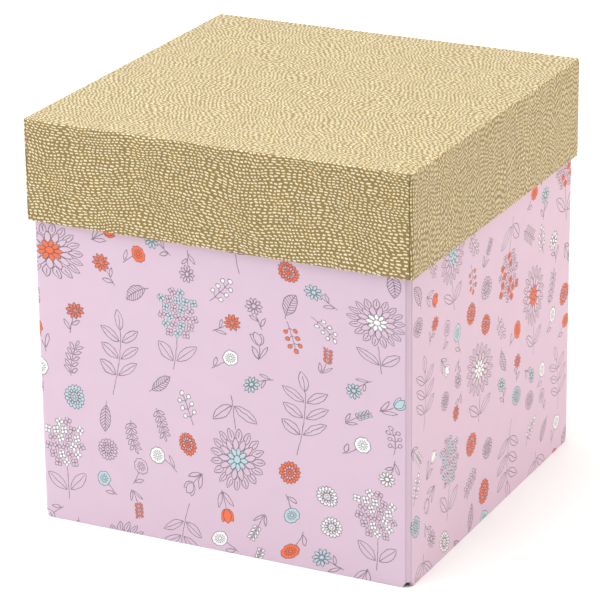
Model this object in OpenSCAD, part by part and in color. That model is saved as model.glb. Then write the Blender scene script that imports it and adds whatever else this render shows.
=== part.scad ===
// Square flower box in paper-wrapped greyboard: a wall ring that turns its corners on paper hinges,
// a glued-in bottom, and a deep lift-off lid that slides down over the walls and rests on their rim.
// Origin at the middle of the underside, +Z up, the front panel towards -Y.

/* [Overall] */
// Width of the lid over its side panels
lid_w = 300; // [220:1:380]
// Depth of the lid over its front and back panels
lid_d = 300; // [220:1:380]
// Height of the closed box
box_h = 305; // [180:1:400]
// Height of the lid's skirt, from its lower edge to its top face
lid_h = 75; // [45:0.5:120]

/* [Board and papers] */
// Thickness of the greyboard panels
board_t = 2; // [1.2:0.1:3]
// Thickness of the printed covering papers
wrap_t = 0.15; // [0.12:0.01:0.3]
// Thickness of the plain lining papers
lining_t = 0.15; // [0.12:0.01:0.3]
// Thickness of the paper glued under the box
underside_t = 0.15; // [0.12:0.01:0.3]
// Thickness of the tape that holds the lid's corners
stay_t = 0.12; // [0.08:0.01:0.25]

/* [Fits] */
// Gap on each side between the lid's lining and the wall wrap
lid_clearance = 0.45; // [0.35:0.05:1.5]
// Gap on each side between the bottom board and the walls
bottom_clearance = 0.3; // [0.2:0.05:1]

/* [Turned edges] */
// How far each covering paper is turned in over a board edge
turn_in = 18; // [8:0.5:30]
// How far the linings stay back from a turned edge
lining_reveal = 4; // [2:0.5:7]
// How far the wall lining is turned out over the bottom board
floor_flange = 12; // [6:0.5:25]
// Height over which a paper climbs onto the layer beside it
step_len = 0.4; // [0.3:0.05:1]
// How far the underside paper stays back from the wall faces
underside_inset = 1; // [0.5:0.1:1.2]

/* [Corner hinges of the walls] */
// Distance from a wall's corner to where its board ends
hinge_leg = 3.5; // [3:0.1:5]
// Depth of the two creases beside each hinge's bead
crease_depth = 0.45; // [0.3:0.05:0.6]
// Radius of the bead that the paper makes round the corner
bead_r = 2.2; // [2:0.05:2.6]
// Height of the bead over the line from board edge to board edge
bead_rise = 0.35; // [0.1:0.05:0.5]
// Radius of the arch at the foot of each hinge
foot_arch_r = 4; // [3:0.1:6]
// Length of the underside paper's and bottom board's cut corners
corner_cut = 9; // [7:0.5:20]
// Width of the lap where the wall wrap closes on the back panel
seam_lap = 15; // [8:0.5:30]

/* [Lid] */
// Radius of the lid's upright corners
lid_corner_r = 2; // [1:0.1:3]
// Radius of the lid's top edges
lid_edge_r = 1; // [0.5:0.1:1.5]
// Distance from a lid corner to the cut edge of the front or back flap
lap_setback = 2.2; // [2:0.1:6]
// Width over which a side flap's tab lies under the front or back flap
lap_w = 15; // [8:0.5:25]
// Leg width of the lid's corner tapes
stay_leg = 20; // [10:0.5:30]

/* [Hidden] */
$fn = 64;
diag = sqrt(2);
corners = [[1, 1], [-1, 1], [-1, -1], [1, -1]];
cut_over = 1;              // how far a cutting shape runs past what it cuts

greyboard_colour = [0.60, 0.58, 0.55];
print_colour = [0.88, 0.78, 0.84];
lid_print_colour = [0.78, 0.70, 0.45];
lining_colour = [0.94, 0.93, 0.90];
kraft_colour = [0.78, 0.66, 0.48];

// the lid, from the outside in; the front and back flaps lie over the side flaps' tabs
lid_x = lid_w / 2;
lid_y = lid_d / 2 - wrap_t;
lid_z0 = box_h - lid_h;
lid_board_z1 = box_h - wrap_t;
lid_board_x = lid_x - wrap_t;
lid_board_y = lid_y - wrap_t;
lid_ceiling_z = lid_board_z1 - board_t;

// the walls stand inside the lid's turned edge and lining
lid_layers = wrap_t + board_t + wrap_t + lining_t + lid_clearance;
rim_z = lid_ceiling_z - lining_t;
wall_z0 = underside_t;
wall_x = lid_x - lid_layers - wrap_t;
wall_y = lid_y - lid_layers - wrap_t;
hinge_x = wall_x - hinge_leg;
hinge_y = wall_y - hinge_leg;
wall_board_z0 = wall_z0 + wrap_t;
wall_board_z1 = rim_z - wrap_t;

// sums |x| + |y| along the chamfers that cross each corner, outside and inside
chamfer_out = hinge_x + wall_y;
chamfer_in = hinge_x + wall_y - board_t;

// centre of the bead, on the line through the corner that is square to its chamfer
bead_inwards = (bead_r - wrap_t - bead_rise) / diag;
bead_x = (hinge_x + wall_x) / 2 - bead_inwards;
bead_y = (hinge_y + wall_y) / 2 - bead_inwards;

// the bottom lies on the underside paper, between the walls
bottom_z0 = underside_t;
bottom_z1 = bottom_z0 + board_t;

// ---- outlines seen from above; a larger grow moves the outline outwards by that much ----

module block_2d(hx, hy) {
    square([2 * hx, 2 * hy], center = true);
}

module diamond_2d(reach) {
    polygon([[reach, 0], [0, reach], [-reach, 0], [0, -reach]]);
}

// outside of the wall boards, with the paper's creases and bead across each corner
module wall_outside_2d(grow) {
    block_2d(wall_x + grow, hinge_y + grow);
    block_2d(hinge_x + grow, wall_y + grow);
    intersection() {
        block_2d(wall_x, wall_y);
        diamond_2d(chamfer_out - diag * (crease_depth + wrap_t - grow));
    }
    for (c = corners)
        translate([c.x * bead_x, c.y * bead_y])
            circle(r = bead_r - wrap_t + grow);
}

// inside of the wall boards, with the chamfer where the lining crosses each corner
module wall_inside_2d(grow) {
    intersection() {
        block_2d(wall_x - board_t + grow, wall_y - board_t + grow);
        diamond_2d(chamfer_in + diag * grow);
    }
}

module lid_inside_2d(grow) {
    block_2d(lid_board_x - board_t + grow, lid_board_y - board_t + grow);
}

module band(z0, z1) {
    translate([0, 0, z0])
        linear_extrude(z1 - z0)
            children();
}

// ---- the foot of each corner hinge, where the paper stops in an arch above the floor ----

module foot_arches(r) {
    for (c = corners)
        translate([c.x * hinge_x, c.y * hinge_y, 0])
            rotate([0, 0, atan2(c.y, c.x)])
                rotate([0, 90, 0])
                    cylinder(r = r, h = 4 * hinge_leg, center = true);
}

// ---- wall boards ----

module end_panel_2d(side) {
    translate([-hinge_x, side > 0 ? wall_y - board_t : -wall_y])
        square([2 * hinge_x, board_t]);
}

module side_panel_2d(side) {
    translate([side > 0 ? wall_x - board_t : -wall_x, -hinge_y])
        square([board_t, 2 * hinge_y]);
}

module wall_board() {
    color(greyboard_colour)
        difference() {
            band(wall_board_z0, wall_board_z1) children();
            foot_arches(foot_arch_r + wrap_t);
        }
}

module base_front_board() wall_board() end_panel_2d(-1);
module base_back_board() wall_board() end_panel_2d(1);
module base_left_board() wall_board() side_panel_2d(-1);
module base_right_board() wall_board() side_panel_2d(1);

// ---- printed wall wrap: one sheet round all four boards, turned in over the rim and the foot ----

module base_wrap() {
    color(print_colour)
        difference() {
            union() {
                band(wall_z0, rim_z)
                    difference() {
                        wall_outside_2d(wrap_t);
                        wall_outside_2d(0);
                    }
                for (z = [wall_z0, rim_z - wrap_t])
                    band(z, z + wrap_t)
                        difference() {
                            wall_outside_2d(wrap_t);
                            wall_inside_2d(-wrap_t);
                        }
                for (z = [wall_z0, rim_z - turn_in])
                    band(z, z + turn_in)
                        difference() {
                            wall_inside_2d(0);
                            wall_inside_2d(-wrap_t);
                        }
                arch_edging();
                side_seam();
            }
            foot_arches(foot_arch_r);
        }
}

// the wrap turned round each board's arched lower corner
module arch_edging() {
    difference() {
        intersection() {
            foot_arches(foot_arch_r + wrap_t);
            band(wall_z0, wall_z0 + turn_in)
                difference() {
                    union() {
                        block_2d(wall_x + wrap_t, hinge_y);
                        block_2d(hinge_x, wall_y + wrap_t);
                    }
                    wall_inside_2d(-wrap_t);
                }
        }
        foot_arches(foot_arch_r);
    }
}

// the sheet's two ends overlap on the back panel, beside its left hinge
module side_seam() {
    translate([-hinge_x, wall_y + wrap_t, wall_z0])
        cube([seam_lap, wrap_t, rim_z - wall_z0]);
}

// ---- a lining that covers boards and climbs over the turned edge of the wrap ----

module wall_lining() {
    color(lining_colour) {
        band(bottom_z1, wall_z0 + turn_in + step_len) lining_on_turn_in();
        band(wall_z0 + turn_in, wall_z0 + turn_in + step_len) lining_step();
        band(wall_z0 + turn_in, rim_z - turn_in)
            difference() {
                wall_inside_2d(0);
                wall_inside_2d(-lining_t);
            }
        band(rim_z - turn_in - step_len, rim_z - turn_in) lining_step();
        band(rim_z - turn_in - step_len, rim_z - lining_reveal) lining_on_turn_in();
        band(bottom_z1, bottom_z1 + lining_t)
            difference() {
                wall_inside_2d(-wrap_t);
                wall_inside_2d(-wrap_t - floor_flange);
            }
    }
}

module lining_on_turn_in() {
    difference() {
        wall_inside_2d(-wrap_t);
        wall_inside_2d(-wrap_t - lining_t);
    }
}

module lining_step() {
    difference() {
        wall_inside_2d(0);
        wall_inside_2d(-wrap_t - lining_t);
    }
}

// ---- bottom ----

module bottom_board() {
    color(greyboard_colour)
        band(bottom_z0, bottom_z1)
            intersection() {
                wall_inside_2d(-wrap_t - bottom_clearance);
                diamond_2d(chamfer_in - corner_cut);
            }
}

module floor_lining() {
    flange_edge = -wrap_t - floor_flange;
    color(lining_colour) {
        band(bottom_z1, bottom_z1 + lining_t)
            wall_inside_2d(flange_edge);
        band(bottom_z1, bottom_z1 + 2 * lining_t)
            difference() {
                wall_inside_2d(flange_edge);
                wall_inside_2d(flange_edge - step_len);
            }
        band(bottom_z1 + lining_t, bottom_z1 + 2 * lining_t)
            difference() {
                wall_inside_2d(-wrap_t - lining_t);
                wall_inside_2d(flange_edge - step_len);
            }
    }
}

module underside_paper() {
    color(lining_colour)
        band(0, underside_t)
            intersection() {
                block_2d(wall_x - underside_inset, wall_y - underside_inset);
                diamond_2d(chamfer_in - corner_cut);
            }
}

// ---- lid ----

// the lid's outer form moved inwards by inset: upright corners and top edges are rounded
module lid_form(inset) {
    hx = lid_x - inset;
    hy = lid_y - inset;
    top = box_h - inset;
    corner = lid_corner_r - inset;
    edge = lid_edge_r - inset;
    intersection() {
        band(lid_z0, top) rounded_2d(hx, hy, corner);
        translate([0, hy, 0])
            rotate([90, 0, 0])
                linear_extrude(2 * hy) arched_2d(hx, top, edge);
        translate([-hx, 0, 0])
            rotate([90, 0, 90])
                linear_extrude(2 * hx) arched_2d(hy, top, edge);
    }
}

module rounded_2d(hx, hy, r) {
    block_2d(hx - r, hy);
    block_2d(hx, hy - r);
    for (c = corners)
        translate([c.x * (hx - r), c.y * (hy - r)])
            circle(r = r);
}

// a lid seen from the side: square below, with rounded upper corners
module arched_2d(half, top, r) {
    translate([-half, lid_z0])
        square([2 * half, top - r - lid_z0]);
    translate([-half + r, lid_z0])
        square([2 * (half - r), top - lid_z0]);
    for (s = [-1, 1])
        translate([s * (half - r), top - r])
            circle(r = r);
}

module lid_top_board() {
    color(greyboard_colour)
        intersection() {
            lid_form(wrap_t);
            band(lid_ceiling_z, box_h) block_2d(lid_x, lid_y);
        }
}

// one skirt board, less the shallow bed into which the corner tapes are pressed
module skirt_board() {
    color(greyboard_colour)
        difference() {
            intersection() {
                lid_form(wrap_t);
                band(lid_z0 + wrap_t, lid_ceiling_z) children();
            }
            for (c = corners) corner_tape(c);
        }
}

module lid_end_2d(side) {
    translate([-lid_x, side > 0 ? lid_board_y - board_t : -lid_board_y])
        square([2 * lid_x, board_t]);
}

module lid_side_2d(side) {
    translate([side > 0 ? lid_board_x - board_t : -lid_board_x, -(lid_board_y - board_t)])
        square([board_t, 2 * (lid_board_y - board_t)]);
}

module lid_front_board() skirt_board() lid_end_2d(-1);
module lid_back_board() skirt_board() lid_end_2d(1);
module lid_left_board() skirt_board() lid_side_2d(-1);
module lid_right_board() skirt_board() lid_side_2d(1);

// tape folded round the outside of an upright board corner
module corner_tape(c) {
    intersection() {
        difference() {
            lid_form(wrap_t);
            lid_form(wrap_t + stay_t);
        }
        band(lid_z0 + wrap_t, lid_ceiling_z)
            translate([c.x * lid_board_x, c.y * lid_board_y])
                square(2 * stay_leg, center = true);
    }
}

module lid_stay(c) {
    color(kraft_colour) corner_tape(c);
}

module lid_stay_front_left() lid_stay([-1, -1]);
module lid_stay_front_right() lid_stay([1, -1]);
module lid_stay_back_left() lid_stay([-1, 1]);
module lid_stay_back_right() lid_stay([1, 1]);

module lid_wrap() {
    color(lid_print_colour) {
        difference() {
            lid_form(0);
            lid_form(wrap_t);
            band(lid_z0 - cut_over, lid_z0 + cut_over)
                rounded_2d(lid_board_x, lid_board_y, lid_corner_r - wrap_t);
        }
        intersection() {
            lid_form(0);
            band(lid_z0, lid_z0 + wrap_t)
                difference() {
                    block_2d(lid_x, lid_y);
                    lid_inside_2d(-wrap_t);
                }
        }
        band(lid_z0, lid_z0 + turn_in)
            difference() {
                lid_inside_2d(0);
                lid_inside_2d(-wrap_t);
            }
        for (c = corners) flap_lap(c);
    }
}

// the front and back flaps rise over the side flaps' tabs, up to their cut edges
module flap_lap(c) {
    from_x = lid_x - lap_setback - lap_w;
    translate([c.x > 0 ? from_x : -from_x - lap_w, c.y > 0 ? lid_y : -lid_y - wrap_t, lid_z0])
        cube([lap_w, wrap_t, lid_h - lid_edge_r]);
}

module lid_lining() {
    edge_z = lid_z0 + turn_in;
    color(lining_colour) {
        band(lid_ceiling_z - lining_t, lid_ceiling_z) lid_inside_2d(0);
        band(edge_z, lid_ceiling_z)
            difference() {
                lid_inside_2d(0);
                lid_inside_2d(-lining_t);
            }
        band(edge_z, edge_z + step_len)
            difference() {
                lid_inside_2d(0);
                lid_inside_2d(-wrap_t - lining_t);
            }
        band(lid_z0 + lining_reveal, edge_z + step_len)
            difference() {
                lid_inside_2d(-wrap_t);
                lid_inside_2d(-wrap_t - lining_t);
            }
    }
}

base_front_board();
base_back_board();
base_left_board();
base_right_board();
base_wrap();
wall_lining();
bottom_board();
floor_lining();
underside_paper();
lid_top_board();
lid_front_board();
lid_back_board();
lid_left_board();
lid_right_board();
lid_stay_front_left();
lid_stay_front_right();
lid_stay_back_left();
lid_stay_back_right();
lid_wrap();
lid_lining();
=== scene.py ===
import math

import bmesh
import bpy
from mathutils import Matrix, Vector


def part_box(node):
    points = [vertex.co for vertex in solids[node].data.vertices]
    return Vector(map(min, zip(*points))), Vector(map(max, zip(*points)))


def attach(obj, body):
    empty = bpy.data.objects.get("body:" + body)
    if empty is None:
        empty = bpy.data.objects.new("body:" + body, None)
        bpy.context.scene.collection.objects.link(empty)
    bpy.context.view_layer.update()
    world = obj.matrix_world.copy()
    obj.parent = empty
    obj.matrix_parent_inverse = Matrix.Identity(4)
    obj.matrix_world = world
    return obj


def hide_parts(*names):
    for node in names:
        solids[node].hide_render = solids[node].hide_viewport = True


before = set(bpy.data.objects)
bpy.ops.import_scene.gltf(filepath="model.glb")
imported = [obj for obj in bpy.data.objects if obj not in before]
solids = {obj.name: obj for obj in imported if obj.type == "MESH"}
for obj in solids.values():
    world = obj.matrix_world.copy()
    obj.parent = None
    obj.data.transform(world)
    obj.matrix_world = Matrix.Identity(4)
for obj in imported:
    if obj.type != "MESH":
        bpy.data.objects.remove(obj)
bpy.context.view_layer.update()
mm = 0.001
print("frame loaded:", len(solids), "solids")


class Wire:
    # an output socket; sums and products of wires add Math nodes
    def __init__(self, tree, socket=None):
        self.tree = tree
        self.socket = socket

    def make(self, kind, settings=None, values=None, output=0):
        node = self.tree.nodes.new(kind)
        node.location.x = 180 * len(self.tree.nodes)
        for name, value in (settings or {}).items():
            if name == "stops":
                fillRamp(node.color_ramp, value)
            else:
                setattr(node, name, value)
        for name, value in (values or {}).items():
            target = findSocket(node.inputs, name)
            if isinstance(value, Wire):
                self.tree.links.new(value.socket, target)
            else:
                target.default_value = value
        return Wire(self.tree, findSocket(node.outputs, output))

    def maths(self, operation, *others):
        return self.make("ShaderNodeMath", {"operation": operation}, dict(enumerate([self, *others])))

    def after(self, operation, other):
        return self.make("ShaderNodeMath", {"operation": operation}, {0: other, 1: self})

    def __add__(self, other):
        return self.maths("ADD", other)

    def __radd__(self, other):
        return self.after("ADD", other)

    def __sub__(self, other):
        return self.maths("SUBTRACT", other)

    def __rsub__(self, other):
        return self.after("SUBTRACT", other)

    def __mul__(self, other):
        return self.maths("MULTIPLY", other)

    def __rmul__(self, other):
        return self.after("MULTIPLY", other)

    def __truediv__(self, other):
        return self.maths("DIVIDE", other)

    def __rtruediv__(self, other):
        return self.after("DIVIDE", other)

    def __pow__(self, other):
        return self.maths("POWER", other)

    def __neg__(self):
        return self.maths("MULTIPLY", -1.0)

    def __abs__(self):
        return self.maths("ABSOLUTE")


def findSocket(sockets, name):
    if isinstance(name, int):
        return sockets[name]
    return next(s for s in sockets if name in (s.identifier, s.name))


def fillRamp(ramp, stops):
    while len(ramp.elements) < len(stops):
        ramp.elements.new(1)
    for element, (place, colour) in zip(ramp.elements, stops):
        element.position = place
        element.color = colour


def vectorOf(x, y, z=0.0):
    start = next(v for v in (x, y, z) if isinstance(v, Wire))
    return start.make("ShaderNodeCombineXYZ", None, {0: x, 1: y, 2: z})


def partsOf(vector):
    split = vector.make("ShaderNodeSeparateXYZ", None, {0: vector}).socket.node
    return [Wire(vector.tree, split.outputs[i]) for i in range(3)]


def vectorSum(first, second):
    return first.make("ShaderNodeVectorMath", {"operation": "ADD"}, {0: first, 1: second})


def scaled(vector, amount):
    return vector.make("ShaderNodeVectorMath", {"operation": "SCALE"}, {0: vector, "Scale": amount})


def least(*values):
    found = values[0]
    for value in values[1:]:
        found = found.maths("MINIMUM", value)
    return found


def most(*values):
    found = values[0]
    for value in values[1:]:
        found = found.maths("MAXIMUM", value)
    return found


def ease(value, low, high):
    # 0 at low and 1 at high, with soft ends; low may be the larger
    return value.make("ShaderNodeMapRange", {"interpolation_type": "SMOOTHSTEP"},
                      {"Value": value, "From Min": low, "From Max": high})


def noise(p, scale, detail=2.0, output="Fac"):
    return p.make("ShaderNodeTexNoise", None, {"Vector": p, "Scale": scale, "Detail": detail}, output)


def tintsOf(colour):
    split = colour.make("ShaderNodeSeparateColor", None, {0: colour}).socket.node
    return [Wire(colour.tree, split.outputs[i]) for i in range(3)]


def dice(number):
    # three random numbers for one number
    drawn = number.make("ShaderNodeTexWhiteNoise", {"noise_dimensions": "1D"}, {"W": number}, "Color")
    return tintsOf(drawn)


def blendColour(amount, first, second):
    start = next(v for v in (amount, first, second) if isinstance(v, Wire))
    return start.make("ShaderNodeMix", {"data_type": "RGBA"},
                      {"Factor_Float": amount, "A_Color": first, "B_Color": second}, "Result_Color")


def inkOf(red, green, blue):
    # the linear colour of a screen colour
    tones = [c / 255 for c in (red, green, blue)]
    return (*[c / 12.92 if c <= 0.04045 else ((c + 0.055) / 1.055) ** 2.4 for c in tones], 1)


def newMaterial(name):
    material = bpy.data.materials.new(name)
    material.use_nodes = True
    return material


def feed(material, inputs):
    shader = material.node_tree.nodes["Principled BSDF"]
    for name, value in inputs.items():
        if isinstance(value, Wire):
            material.node_tree.links.new(value.socket, shader.inputs[name])
        else:
            shader.inputs[name].default_value = value


def bumpOf(height, distance, strength):
    values = {"Height": height, "Distance": distance, "Strength": strength}
    return height.make("ShaderNodeBump", None, values)


# the values and places that tell the fold where each point of a flat sheet goes
foldValues = ("level", "fold", "inset", "proud", "across")
foldPlaces = ("outside", "inside", "facing")
folding = {
    "turnSteps": 5,
    "firstInside": 3.0,
    "mergeWithin": 0.002,
    "sharpFrom": 40.0,
}


def newFoldTree():
    tree = bpy.data.node_groups.new("foldPaper", "GeometryNodeTree")
    face = tree.interface
    face.new_socket("Geometry", in_out="INPUT", socket_type="NodeSocketGeometry")
    for name in ("Foot level", "Rim level", "Arch radius", "Arch reach", "Rim dip", "Dip width", "Lap lift"):
        face.new_socket(name, in_out="INPUT", socket_type="NodeSocketFloat")
    face.new_socket("Material", in_out="INPUT", socket_type="NodeSocketMaterial")
    face.new_socket("Geometry", in_out="OUTPUT", socket_type="NodeSocketGeometry")
    entry = tree.nodes.new("NodeGroupInput")
    start = Wire(tree)

    def given(name):
        return Wire(tree, findSocket(entry.outputs, name))

    def stored(name, kind="FLOAT"):
        settings = {"data_type": kind}
        return start.make("GeometryNodeInputNamedAttribute", settings, {"Name": name}, "Attribute")

    level = stored("level")
    fold = stored("fold")
    across = abs(stored("across"))

    # the foot of each corner stops in an arch, and what is just over it moves up
    arch = most(given("Arch radius") * given("Arch radius") - across * across, 0.0) ** 0.5
    nearFoot = least(most(1 - (level - given("Foot level")) / given("Arch reach"), 0.0), 1.0)
    lift = most(arch - given("Foot level"), 0.0) * nearFoot

    # between two boards nothing holds the rim up
    nearRim = most(1 - (given("Rim level") - level) / given("Arch reach"), 0.0)
    dip = given("Rim dip") * ease(1 - across / given("Dip width"), 0.0, 1.0) * nearRim * nearRim

    lie = start.make("ShaderNodeMix", {"data_type": "VECTOR"},
                     {"Factor_Float": fold, "A_Vector": stored("outside", "FLOAT_VECTOR"),
                      "B_Vector": stored("inside", "FLOAT_VECTOR")}, "Result_Vector")
    out = stored("proud") * given("Lap lift") - stored("inset")
    flat = vectorSum(lie, scaled(stored("facing", "FLOAT_VECTOR"), out))
    place = vectorSum(flat, vectorOf(0.0, 0.0, level + lift - dip))
    slide = vectorOf(0.0, (lift - dip) * (1 - fold) / mm, 0.0)
    drawn = vectorSum(stored("sheet", "FLOAT_VECTOR"), slide)

    sheet = start.make("GeometryNodeStoreNamedAttribute", {"data_type": "FLOAT2", "domain": "CORNER"},
                       {"Geometry": given("Geometry"), "Name": "sheet", "Value": drawn})
    sheet = start.make("GeometryNodeSetPosition", None, {"Geometry": sheet, "Position": place})
    sheet = start.make("GeometryNodeRealizeInstances", None, {"Geometry": sheet})
    sheet = start.make("GeometryNodeSetMaterial", None, {"Geometry": sheet, "Material": given("Material")})
    leave = tree.nodes.new("NodeGroupOutput")
    tree.links.new(sheet.socket, leave.inputs["Geometry"])
    return tree


foldTree = newFoldTree()
print("fold tree built")


def addObject(name, data):
    thing = bpy.data.objects.new(name, data)
    bpy.context.scene.collection.objects.link(thing)
    return thing


def flatSheet(name, columns, rows, drawnAt, keep, closed=False):
    # a grid that carries, point by point, where the fold will take it; a closed one is capped too
    count = len(columns)
    points = [(c, r) for r in rows for c in columns]
    faces, uppers = [], []
    for j in range(len(rows) - 1):
        for i in range(count if closed else count - 1):
            after = (i + 1) % count
            here, above = j * count, (j + 1) * count
            if keep(columns[i], columns[after], rows[j], rows[j + 1]):
                faces.append((here + i, here + after, above + after, above + i))
                uppers.append(rows[j + 1])
    if closed:
        faces.append(tuple(range((len(rows) - 1) * count, len(rows) * count)))
        uppers.append(rows[-1])
    places = [(c["outside"].x * mm, c["outside"].y * mm, r["level"] * mm) for c, r in points]
    mesh = bpy.data.meshes.new(name)
    mesh.from_pydata(places, [], faces)
    found = {
        "level": [r["level"] * mm for c, r in points],
        "fold": [r["fold"] for c, r in points],
        "inset": [r["inset"] * mm for c, r in points],
        "proud": [c["proud"] * r["proud"] for c, r in points],
        "across": [c["across"] * mm for c, r in points],
    }
    for key in foldValues:
        mesh.attributes.new(key, "FLOAT", "POINT").data.foreach_set("value", found[key])
    for key in foldPlaces:
        size = 1 if key == "facing" else mm
        flat = [v for c, r in points for v in (c[key].x * size, c[key].y * size, 0)]
        mesh.attributes.new(key, "FLOAT_VECTOR", "POINT").data.foreach_set("vector", flat)
    layer = mesh.uv_layers.new(name="sheet")
    for polygon, upper in zip(mesh.polygons, uppers):
        for loop in polygon.loop_indices:
            column, row = points[mesh.loops[loop].vertex_index]
            layer.data[loop].uv = drawnAt(column, row, upper)
    mesh.polygons.foreach_set("use_smooth", [True] * len(mesh.polygons))
    return mesh


def plainMesh(holder, name):
    graph = bpy.context.evaluated_depsgraph_get()
    solved = holder.evaluated_get(graph)
    made = bpy.data.meshes.new_from_object(solved, preserve_all_data_layers=True, depsgraph=graph)
    bpy.data.objects.remove(holder)
    made.name = name
    return made


def foldedPaper(name, mesh, printed, bare, values, thickness):
    mesh.materials.append(printed)
    mesh.materials.append(bare)
    holder = addObject(name, mesh)
    fold = holder.modifiers.new("fold", "NODES")
    fold.node_group = foldTree
    given = {**values, "Material": printed}
    for item in foldTree.interface.items_tree:
        if item.in_out == "INPUT" and item.name in given:
            fold[item.identifier] = given[item.name]
    made = plainMesh(holder, name)

    # points that the fold has brought together become one
    work = bmesh.new()
    work.from_mesh(made)
    bmesh.ops.remove_doubles(work, verts=work.verts, dist=folding["mergeWithin"] * mm)
    work.to_mesh(made)
    work.free()

    # the paper's thickness goes inwards, and its back and cut edges are bare
    holder = addObject(name, made)
    body = holder.modifiers.new("thickness", "SOLIDIFY")
    body.thickness = thickness
    body.offset = -1
    body.use_even_offset = True
    body.material_offset = 1
    body.material_offset_rim = 1
    final = plainMesh(holder, name)
    for key in (*foldValues, *foldPlaces):
        if key in final.attributes:
            final.attributes.remove(final.attributes[key])
    final.set_sharp_from_angle(angle=math.radians(folding["sharpFrom"]))
    return addObject(name, final)


def addBakeMap(mesh, spotOf):
    # a second map that gives the printed side nearly all of the image
    layer = mesh.uv_layers.new(name="OFBake")
    sheet = mesh.uv_layers["sheet"]
    for polygon in mesh.polygons:
        for loop in polygon.loop_indices:
            layer.data[loop].uv = spotOf(sheet.data[loop].uv, polygon.material_index > 0)
    mesh.uv_layers.active = sheet


def turnCorner(line, index, radius, steps):
    # puts an arc in place of a line's sharp corner
    here = line[index]
    back = (line[index - 1] - here).normalized()
    onward = (line[index + 1] - here).normalized()
    half = math.acos(max(-1.0, min(1.0, back.dot(onward)))) / 2
    centre = here + (back + onward).normalized() * radius / math.sin(half)
    first = here + back * radius / math.tan(half) - centre
    last = here + onward * radius / math.tan(half) - centre
    sweep = math.atan2(first.x * last.y - first.y * last.x, first.dot(last))
    arc = [centre + Matrix.Rotation(sweep * i / steps, 2) @ first for i in range(steps + 1)]
    return line[:index] + arc + line[index + 1:]


def boardDepth(sheet):
    # a board with paper on both of its sides
    return sheet["board"] + 2 * sheet["paper"]


def foldRows(sheet, edge, inward):
    # one turned edge, row by row, from outside over the board's edge to the inside; a foot starts inside
    depth = boardDepth(sheet)
    radius = sheet["foldRadius"]
    steps = folding["turnSteps"]
    angles = [i / steps * math.pi / 2 for i in range(steps + 1)]
    rows = []
    for a in angles:
        rows.append((radius * (1 - math.cos(a)) / depth, edge + inward * radius * (1 - math.sin(a))))
    for a in angles:
        rows.append((1 - radius * (1 - math.sin(a)) / depth, edge + inward * radius * (1 - math.cos(a))))
    rows.append((1, edge + inward * folding["firstInside"]))
    rows.append((1, edge + inward * sheet["turnIn"]))
    return rows[::-1] if inward > 0 else rows


# the printed paper round the walls, in millimetres
wallSheet = {
    "paper": 0.15,
    "board": 2.0,
    "turnIn": 18.0,
    "foldRadius": 0.3,
    "hingeLeg": 3.5,
    "creaseDepth": 0.45,
    "beadRadius": 2.2,
    "beadRise": 0.35,
    "beadSteps": 10,
    "softEdge": 0.45,
    "edgeSteps": 5,
    "softCrease": 0.22,
    "creaseSteps": 4,
    "stub": 6.0,  # only points the way for the first and last bend
    "openFoot": 2.2,
    "footBand": 1.0,
    "archRadius": 4.0,
    "archReach": 10.0,
    "rimDip": 0.5,
    "dipWidth": 2.4,
    "seamLap": 15.0,
    "lapFrom": 4.0,
    "lapEase": 0.9,
    "sheetEnd": 4.95,
    "cutAt": 7.0,
    "nearHinge": (4.0, 4.25, 4.5, 4.75, 4.95, 5.15, 5.3, 5.42, 5.5, 5.62, 5.9, 6.4),
    "onPanel": (10, 18, 35, 65, 105),
    "onLap": (13, 9),
    "fromEdge": (0.6, 1.1, 1.8, 2.8, 4, 5.5, 7.5, 10, 20, 50, 90, 130),
}
wallLow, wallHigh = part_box("base_wrap")
wallX = wallHigh.x / mm
wallY = -wallLow.y / mm
footLevel = wallLow.z / mm
rimLevel = wallHigh.z / mm
cornerX = wallX - wallSheet["paper"]
cornerY = wallY - wallSheet["paper"]


def hingeLine():
    # the paper's outside from one panel to the next, measured from the boards' sharp corner
    s = wallSheet
    paper, leg, radius = s["paper"], s["hingeLeg"], s["beadRadius"]
    floor = (-leg - math.sqrt(2) * s["creaseDepth"]) / math.sqrt(2)
    inwards = (radius - paper - s["beadRise"]) / math.sqrt(2)
    middle = 2 * (-leg / 2 - inwards) / math.sqrt(2)
    spread = math.acos((floor - middle) / radius)
    line = [Vector((-leg - s["stub"], paper)), Vector((paper - leg, paper))]
    for i in range(s["beadSteps"] + 1):
        a = spread * (2 * i / s["beadSteps"] - 1)
        along, up = radius * math.sin(a), middle + radius * math.cos(a)
        line.append(Vector((along + up, up - along)) / math.sqrt(2))
    line += [Vector((paper, paper - leg)), Vector((paper, -leg - s["stub"]))]

    # the panels' edges and the creases are soft; worked from the end, so that the places hold
    last = len(line) - 1
    line = turnCorner(line, last - 1, s["softEdge"], s["edgeSteps"])
    line = turnCorner(line, last - 2, s["softCrease"], s["creaseSteps"])
    line = turnCorner(line, 2, s["softCrease"], s["creaseSteps"])
    line = turnCorner(line, 1, s["softEdge"], s["edgeSteps"])
    return line[1:-1]


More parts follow.
